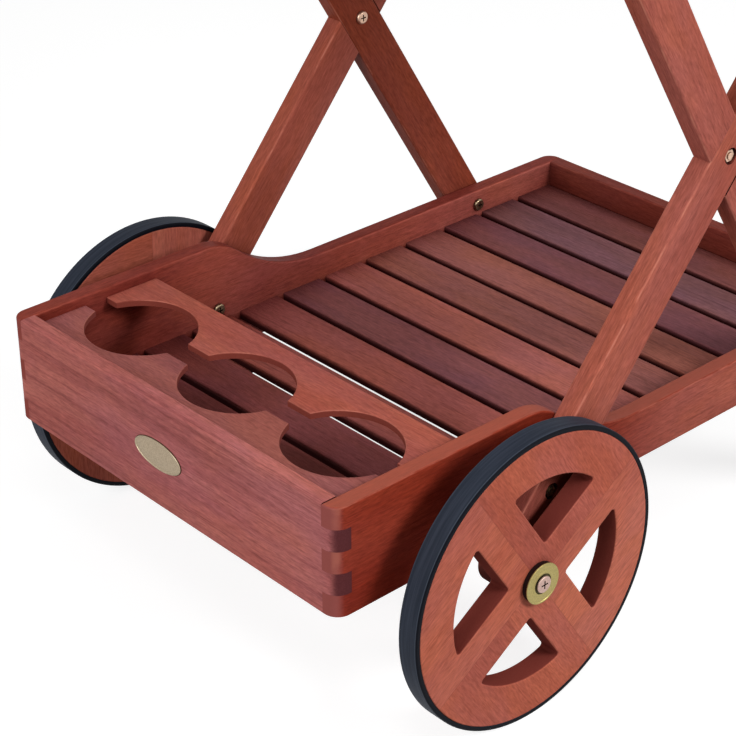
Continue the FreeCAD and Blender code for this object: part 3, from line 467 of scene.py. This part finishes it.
# Slats are painted darker as shade in their gaps and near the side boards.
def slat_wood(name, plank, shift, slat_top):
    return wood_material(
        name, plank_shades(plank), along_y, shift, streaks=0.35, edge_axis=facing_up, worn=0.25,
        gap_top=slat_top, shade_reach=0.10, shade_clear=1.0)


lower_slat_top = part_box("lower_slat_01")[1][2]
for count, plank in enumerate(lower_planks, start=1):
    dress(f"lower_slat_{count:02d}", slat_wood(
        f"lower slat {count:02d}", plank, (0.9 * count, 0.31 * count, 0.17 * count), lower_slat_top))
cleat_wood = wood_material(
    "lower cleats", plank_shades(dark_plank), along_x, shift=(5.2, 1.1, 0.6),
    streaks=0.35, edge_axis=facing_up, worn=0.2)
for side in ("right", "left"):
    dress(f"lower_cleat_{side}", cleat_wood)


# ---- Bottle rack ----
# Two thin boards with scalloped edges stand apart and make three bottle holes. They are sawn to shape,
# sanded and oiled, with darker sawn edges, and held by dowels in the side boards.
rack_front_shades = (
    (0.365, 0.117, 0.100, 1), (0.287, 0.084, 0.074, 1),
    (0.174, 0.046, 0.041, 1), (0.200, 0.045, 0.036, 1))
rack_rear_shades = (
    (0.441, 0.122, 0.087, 1), (0.379, 0.090, 0.068, 1),
    (0.220, 0.049, 0.037, 1), (0.210, 0.042, 0.030, 1))
rack_pieces = (
    ("bottle_rack_front", rack_front_shades),
    ("bottle_rack_rear", rack_rear_shades),
    ("rack_dowels", rack_rear_shades),
)
for count, (name, shades) in enumerate(rack_pieces):
    dress(name, wood_material(
        name.replace("_", " "), shades, along_y, shift=(0.8 * count, 2.3, 0.5 * count),
        streaks=0.2, edge_axis=facing_up, worn=0.6, sawn_edge=0.9))


# ---- Name plate ----
# A small oval of stamped brass sheet, lacquered and left blank, glued to the front board near its
# middle. The press has raised a fine rim round a shallow field. A dark band, slightly wider than the
# plate, is painted round its outline as the shade at its edge.
plate_low, plate_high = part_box("name_plate")
plate_points = 96
plate_shade_bands = 2
# Each ring of the plate is an inset from its outline and a height above the board.
plate_rings = (
    (-0.0006, 0.0), (-0.0006, 0.0002), (0.0, 0.0003), (0.0, 0.0009), (0.0004, 0.0012),
    (0.0012, 0.0012), (0.0016, 0.0008), (0.0022, 0.0007), (0.0045, 0.0008), (0.0080, 0.0010),
    (0.0110, 0.0011),
)
brush_stretch = (2600.0, 260.0, 2600.0)
brush_roughness = 0.10
brush_bump = 0.12
brush_depth = 0.0002
haze_roughness = 0.16
recess_shade_reach = 0.003
recess_shade_clear = 0.95
recess_shade_tone = (0.025, 0.010, 0.010, 1)


def loft(name, shells, closed):
    points = []
    faces = []
    for loops in shells:
        first = len(points)
        count = len(loops[0])
        points += [point for loop in loops for point in loop]
        for band in range(len(loops) if closed else len(loops) - 1):
            here = first + band * count
            there = first + (band + 1) % len(loops) * count
            for step in range(count):
                after = (step + 1) % count
                faces.append((here + step, here + after, there + after, there + step))
        if not closed:
            faces.append(tuple(range(first, first + count)))
            faces.append(tuple(range(len(points) - count, len(points))))
    mesh = bpy.data.meshes.new(name)
    mesh.from_pydata(points, [], faces)
    shape = bmesh.new()
    shape.from_mesh(mesh)
    bmesh.ops.recalc_face_normals(shape, faces=shape.faces)
    shape.to_mesh(mesh)
    shape.free()
    piece = bpy.data.objects.new(name, mesh)
    scene.collection.objects.link(piece)
    return piece


def oval(inset, height):
    half_y = (plate_high[1] - plate_low[1]) / 2 - inset
    half_z = (plate_high[2] - plate_low[2]) / 2 - inset
    turns = [2 * math.pi * step / plate_points for step in range(plate_points)]
    return [(
        plate_high[0] - height,
        (plate_low[1] + plate_high[1]) / 2 + half_y * math.cos(turn),
        (plate_low[2] + plate_high[2]) / 2 + half_z * math.sin(turn),
    ) for turn in turns]


def metal_material(name, colour, dull, roughness, wear_scale, shaded_recesses=False):
    material, tree, shader, place = new_material(name)
    cloud = streaky(tree, place["Object"], (wear_scale, wear_scale, wear_scale), 4.0)
    haze = soft_step(tree, cloud, 0.35, 0.70)
    brushed = streaky(tree, place["Object"], brush_stretch, 2.0)
    shade = tint(tree, haze, colour, dull)
    # Hollows hemmed in within a few millimetres are painted dark as shade.
    if shaded_recesses:
        recess = add_node(tree, "ShaderNodeGroup", {
            "Reach": recess_shade_reach, "Clear": recess_shade_clear,
        }, node_tree=corner_shade)
        shade = tint(tree, recess.outputs[0], shade, recess_shade_tone)
    tree.links.new(shade, shader["Base Color"])
    rough = calculate(tree, "MULTIPLY_ADD", haze, haze_roughness, roughness)
    rough = calculate(tree, "MULTIPLY_ADD", brushed, brush_roughness, rough)
    tree.links.new(rough, shader["Roughness"])
    bump = add_node(tree, "ShaderNodeBump", {
        "Height": brushed, "Strength": brush_bump, "Distance": brush_depth,
    })
    tree.links.new(bump.outputs[0], shader["Normal"])
    shader["Metallic"].default_value = 1.0
    return material


plate_loops = [oval(inset, height) for inset, height in plate_rings]
name_plate = loft("blank_name_plate", [plate_loops], False)
name_plate.data.materials.append(metal_material(
    "satin brass", (0.390, 0.310, 0.215, 1), (0.300, 0.240, 0.165, 1),
    roughness=0.38, wear_scale=900.0))
name_plate.data.materials.append(metal_material(
    "plate edge shade", (0.10, 0.05, 0.03, 1), (0.05, 0.025, 0.018, 1), roughness=0.6, wear_scale=900.0))
# The outer bands make a dark edge painted as shade round the plate.
for face in name_plate.data.polygons[:plate_shade_bands * plate_points]:
    face.material_index = 1
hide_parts("name_plate")
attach(name_plate, "frame")


# ---- Leg frames ----
# Two straight hardwood legs on each side cross in a flush halved joint, and the wheel leg carries the
# axle and the handle. All long edges are rounded and rubbed pale in places, and the grain runs along
# each leg.
near_leg_shades = (
    (0.428, 0.119, 0.083, 1), (0.345, 0.081, 0.054, 1),
    (0.177, 0.039, 0.028, 1), (0.084, 0.021, 0.019, 1))
pale_leg_shades = (
    (0.472, 0.134, 0.090, 1), (0.393, 0.097, 0.060, 1),
    (0.192, 0.044, 0.030, 1), (0.220, 0.048, 0.034, 1))
deep_leg_shades = (
    (0.317, 0.073, 0.042, 1), (0.260, 0.052, 0.029, 1),
    (0.129, 0.025, 0.015, 1), (0.200, 0.040, 0.026, 1))
wheel_leg_turn = (0.0, math.radians(50), 0.0)
foot_leg_turn = (0.0, math.radians(122), 0.0)
legs = (
    ("wheel_leg_right", near_leg_shades, wheel_leg_turn),
    ("foot_leg_right", near_leg_shades, foot_leg_turn),
    ("wheel_leg_left", pale_leg_shades, wheel_leg_turn),
    ("foot_leg_left", deep_leg_shades, foot_leg_turn),
)
for count, (name, shades, leg_turn) in enumerate(legs):
    dress(name, wood_material(
        name.replace("_", " "), shades, leg_turn, shift=(1.3 * count, 0.9 * count, 0.4),
        streaks=0.25, edge_axis=facing_side, worn=0.8))


# ---- Handle ----
# A turned hardwood bar, about as thick as a thumb, joins the tops of the two wheel legs for pushing
# and pulling. It is sanded and oiled like the legs, and a long screw through each leg draws it tight.
dress("handle_bar", wood_material(
    "handle bar", near_leg_shades, along_y, shift=(4.4, 0.3, 0.9),
    streaks=0.3, edge_axis=facing_side, worn=0.3))


# ---- Upper tray ----
# A shallower tray of the same boards and slats stands below the handle, with its own cleats under the
# slats. Its corners are finger-jointed and rounded like the lower ones, and it is bolted between the
# two leg frames.
for count, side in enumerate(("right", "left")):
    dress(f"upper_side_board_{side}", wood_material(
        f"upper side board {side}", unshaded_side_board_shades, along_x, shift=(1.9 * count, 3.7, 0.8),
        streaks=0.28, edge_axis=facing_side, worn=0.5))
for count, end in enumerate(("front", "rear")):
    dress(f"upper_{end}_board", wood_material(
        f"upper {end} board", front_board_shades, along_y, shift=(0.6 + 2.1 * count, 4.4, 1.2),
        streaks=0.38, edge_axis=facing_up, worn=0.5))
upper_planks = (
    brown_plank, red_plank, purple_plank, brown_plank, red_plank,
    grey_plank, brown_plank, red_plank, purple_plank, brown_plank,
)
upper_slat_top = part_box("upper_slat_01")[1][2]
for count, plank in enumerate(upper_planks, start=1):
    dress(f"upper_slat_{count:02d}", slat_wood(
        f"upper slat {count:02d}", plank, (0.7 * count, 3.0 + 0.29 * count, 0.13 * count),
        upper_slat_top))
for side in ("right", "left"):
    dress(f"upper_cleat_{side}", cleat_wood)


# ---- Bolts, nuts and screws ----
# Pan-head bolts with brassy zinc plate hold trays and legs together, and their nuts sit in round
# recesses outside. The heads inside the trays have gone dark, while those at the leg crossings are
# still pale, and all their corners and recesses are painted darker as shade.
dark_brass = metal_material(
    "dark brass", (0.40, 0.31, 0.19, 1), (0.10, 0.07, 0.05, 1),
    roughness=0.20, wear_scale=420.0, shaded_recesses=True)
pale_brass = metal_material(
    "pale brass", (0.70, 0.47, 0.35, 1), (0.49, 0.32, 0.23, 1),
    roughness=0.30, wear_scale=420.0, shaded_recesses=True)
for name in ("tray_bolts", "tray_nuts", "slat_screws"):
    dress(name, dark_brass)
for name in ("crossing_bolts", "crossing_nuts", "handle_screws"):
    dress(name, pale_brass)


# ---- Wheels ----
# Each wheel is glued up from four sawn quarters of hardwood, so a seam runs down the middle of each
# spoke. Every quarter is from another plank and has its own tone, with the grain along the spoke that
# it ends on.
axle_x = -0.2158
axle_z = 0.139
quarter_turn = math.pi / 2
wheel_pale = (0.56, 0.174, 0.114, 1)
wheel_mid = (0.475, 0.123, 0.080, 1)
wheel_deep = (0.40, 0.096, 0.062, 1)
wheel_dark = (0.24, 0.052, 0.034, 1)
wheel_inside = (0.20, 0.039, 0.030, 1)
wheel_streaks = 0.18
wheel_worn = 0.3
wheel_shade_reach = 0.02
wheel_shade_clear = 0.72
plank_step = 1.73
seam_half = 0.00045
seam_dirt = 0.15


def wheel_material(side, first_seam, first_plank):
    material, tree, shader, place = new_material(f"wheel wood {side}")
    from_axle = add_node(tree, "ShaderNodeVectorMath", {
        0: place["Object"], 1: (axle_x, 0.0, axle_z),
    }, operation="SUBTRACT").outputs[0]
    spread = add_node(tree, "ShaderNodeSeparateXYZ", {"Vector": from_axle}).outputs
    angle = calculate(tree, "ARCTAN2", spread["Z"], spread["X"])
    turned = calculate(tree, "SUBTRACT", angle, first_seam)
    wrapped = calculate(tree, "WRAP", turned, 2 * math.pi, 0.0)
    quarter = calculate(tree, "FLOOR", calculate(tree, "DIVIDE", wrapped, quarter_turn))
    end_seam = calculate(tree, "MULTIPLY_ADD", quarter, quarter_turn, first_seam + quarter_turn)
    local = add_node(tree, "ShaderNodeVectorRotate", {
        "Vector": from_axle, "Angle": end_seam,
    }, rotation_type="Y_AXIS").outputs[0]
    own_plank = calculate(tree, "MULTIPLY_ADD", quarter, plank_step, first_plank)
    apart = add_node(tree, "ShaderNodeCombineXYZ", {"X": own_plank, "Y": own_plank}).outputs[0]
    grain = add_node(tree, "ShaderNodeVectorMath", {0: local, 1: apart}, operation="ADD").outputs[0]
    sides = add_node(tree, "ShaderNodeSeparateXYZ", {"Vector": local}).outputs
    seam = calculate(
        tree, "MINIMUM",
        calculate(tree, "ABSOLUTE", sides["X"]), calculate(tree, "ABSOLUTE", sides["Z"]))
    seam_line = soft_step(tree, seam, 1.6 * seam_half, 0.4 * seam_half)
    tone = add_node(
        tree, "ShaderNodeTexWhiteNoise", {"W": own_plank}, noise_dimensions="1D").outputs["Value"]
    looks = add_node(tree, "ShaderNodeSeparateXYZ", {"Vector": place["Normal"]}).outputs
    sawn_inside = soft_step(tree, calculate(tree, "ABSOLUTE", looks["Y"]), 0.75, 0.15)
    edges = add_node(tree, "ShaderNodeGroup", {
        "Normal": place["Normal"], "Axis": facing_side, "Place": grain,
    }, node_tree=worn_edges)
    # Faces hemmed in by others are painted darker as corner shade.
    corner_shading = add_node(tree, "ShaderNodeGroup", {
        "Reach": wheel_shade_reach, "Clear": wheel_shade_clear,
    }, node_tree=corner_shade)
    wood = add_node(tree, "ShaderNodeGroup", {
        "Grain": grain,
        "Pale": tint(tree, tone, wheel_pale, wheel_mid),
        "Mid": tint(tree, tone, wheel_mid, wheel_deep),
        "Dark": wheel_dark,
        "Sawn": wheel_inside,
        "Streaks": wheel_streaks,
        "End Grain": calculate(tree, "MULTIPLY", sawn_inside, end_grain_share),
        "Worn Edge And Top Highlight": calculate(tree, "MULTIPLY", edges.outputs[0], wheel_worn),
        "Corner Shade": corner_shading.outputs[0],
        "Joint Line And Gap Shade": calculate(tree, "MULTIPLY", seam_line, seam_dirt),
    }, node_tree=hardwood)
    oil_finish(tree, shader, wood)
    return material


dress("right_wheel_quarters", wheel_material(
    "right", first_seam=math.radians(33.6), first_plank=0.37))
dress("left_wheel_quarters", wheel_material(
    "left", first_seam=math.radians(88.0), first_plank=6.11))


# ---- Tyres ----
# A flat band of black rubber is stretched round each wheel and seated in a shallow groove of the rim.
# Its tread is scuffed to a dusty blue grey along the way it rolls. A pale line along each shoulder is a
# painted highlight, and the side walls are painted near black as shade.
tread_dark = (0.019, 0.024, 0.036, 1)
tread_pale = (0.033, 0.040, 0.058, 1)
shoulder_highlight_tone = (0.080, 0.095, 0.125, 1)
side_wall_shade_tone = (0.0035, 0.004, 0.007, 1)
shoulder_highlight_share = 0.5
tread_stretch = (14.0, 420.0, 14.0)
grit_stretch = (900.0, 900.0, 900.0)
grit_roughness = 0.25
rubber_roughness = 0.45
rubber_gloss = 0.06
grit_bump = 0.2
grit_depth = 0.0003

tyre_rubber, tree, shader, place = new_material("tyre rubber")
scuffs = soft_step(tree, streaky(tree, place["Object"], tread_stretch, 4.0), 0.35, 0.70)
grit = streaky(tree, place["Object"], grit_stretch, 3.0)
looks = add_node(tree, "ShaderNodeSeparateXYZ", {"Vector": place["Normal"]}).outputs
sideways = calculate(tree, "ABSOLUTE", looks["Y"])
# A pale line along each shoulder is painted highlight; the side walls are painted near black as shade.
shoulder_highlight = calculate(
    tree, "MULTIPLY", soft_step(tree, sideways, 0.02, 0.12), soft_step(tree, sideways, 0.50, 0.25))
side_wall_shade = soft_step(tree, sideways, 0.25, 0.60)
shade = tint(tree, scuffs, tread_dark, tread_pale)
shade = tint(tree, calculate(tree, "MULTIPLY", shoulder_highlight, shoulder_highlight_share), shade, shoulder_highlight_tone)
shade = tint(tree, side_wall_shade, shade, side_wall_shade_tone)
tree.links.new(shade, shader["Base Color"])
tree.links.new(
    calculate(tree, "MULTIPLY_ADD", grit, grit_roughness, rubber_roughness), shader["Roughness"])
shader["Specular IOR Level"].default_value = rubber_gloss
bump = add_node(tree, "ShaderNodeBump", {
    "Height": grit, "Strength": grit_bump, "Distance": grit_depth,
})
tree.links.new(bump.outputs[0], shader["Normal"])
for side in ("right", "left"):
    dress(f"{side}_tyre", tyre_rubber)


# ---- Axles ----
# Each wheel turns on a black plastic bush round a fixed steel bolt, with a spacer ring between it and
# the leg. A washer of yellow zinc, pressed with a raised rim and ring, holds the wheel on under the
# bolt's pale head. The groove round that head is painted black as shade, and the bolt's recesses are
# painted darker as shade.
bush_dark = (0.010, 0.004, 0.004, 1)
bush_pale = (0.020, 0.009, 0.008, 1)
bush_clouds = (180.0, 180.0, 180.0)
cloud_roughness = 0.2
bush_roughness = 0.50
bush_gloss = 0.06

bush_plastic, tree, shader, place = new_material("bush plastic")
cloud = streaky(tree, place["Object"], bush_clouds, 3.0)
tree.links.new(tint(tree, cloud, bush_dark, bush_pale), shader["Base Color"])
tree.links.new(
    calculate(tree, "MULTIPLY_ADD", cloud, cloud_roughness, bush_roughness), shader["Roughness"])
shader["Specular IOR Level"].default_value = bush_gloss
for side in ("right", "left"):
    dress(f"{side}_wheel_bush", bush_plastic)

washer_low, washer_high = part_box("axle_washers")
washer_points = 72
washer_shade_band = 9
washer_thick = 0.0014
# Each corner of the washer's profile is a radius and a height above its inner face.
washer_profile = (
    (0.0052, 0.0), (0.0186, 0.0), (0.0190, 0.0004), (0.0190, 0.0010), (0.0187, 0.0014),
    (0.0176, 0.0014), (0.0172, 0.0011), (0.0118, 0.0011), (0.0114, 0.0013), (0.0096, 0.0013),
    (0.0091, 0.0005), (0.0052, 0.0005),
)


def washer_loops(inner_face, outward):
    turns = [2 * math.pi * step / washer_points for step in range(washer_points)]
    return [[(
        axle_x + radius * math.cos(turn),
        inner_face + outward * height,
        axle_z + radius * math.sin(turn),
    ) for turn in turns] for radius, height in washer_profile]


axle_washers = loft("yellow_axle_washers", [
    washer_loops(washer_low[1] + washer_thick, -1), washer_loops(washer_high[1] - washer_thick, 1),
], True)
axle_washers.data.materials.append(metal_material(
    "yellow zinc", (0.380, 0.310, 0.110, 1), (0.300, 0.255, 0.105, 1),
    roughness=0.36, wear_scale=700.0))
axle_washers.data.materials.append(metal_material(
    "zinc with painted groove shade", (0.13, 0.11, 0.05, 1), (0.06, 0.05, 0.025, 1), roughness=0.5, wear_scale=700.0))
# The faces of the groove round the bolt head are painted near black as shade.
for count, face in enumerate(axle_washers.data.polygons):
    if count // washer_points % len(washer_profile) >= washer_shade_band:
        face.material_index = 1
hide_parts("axle_washers")
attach(axle_washers, "frame")

axle_steel = metal_material(
    "axle zinc", (0.52, 0.37, 0.32, 1), (0.40, 0.27, 0.235, 1),
    roughness=0.40, wear_scale=900.0, shaded_recesses=True)
for name in ("axle_bolts", "axle_spacers", "axle_nuts"):
    dress(name, axle_steel)
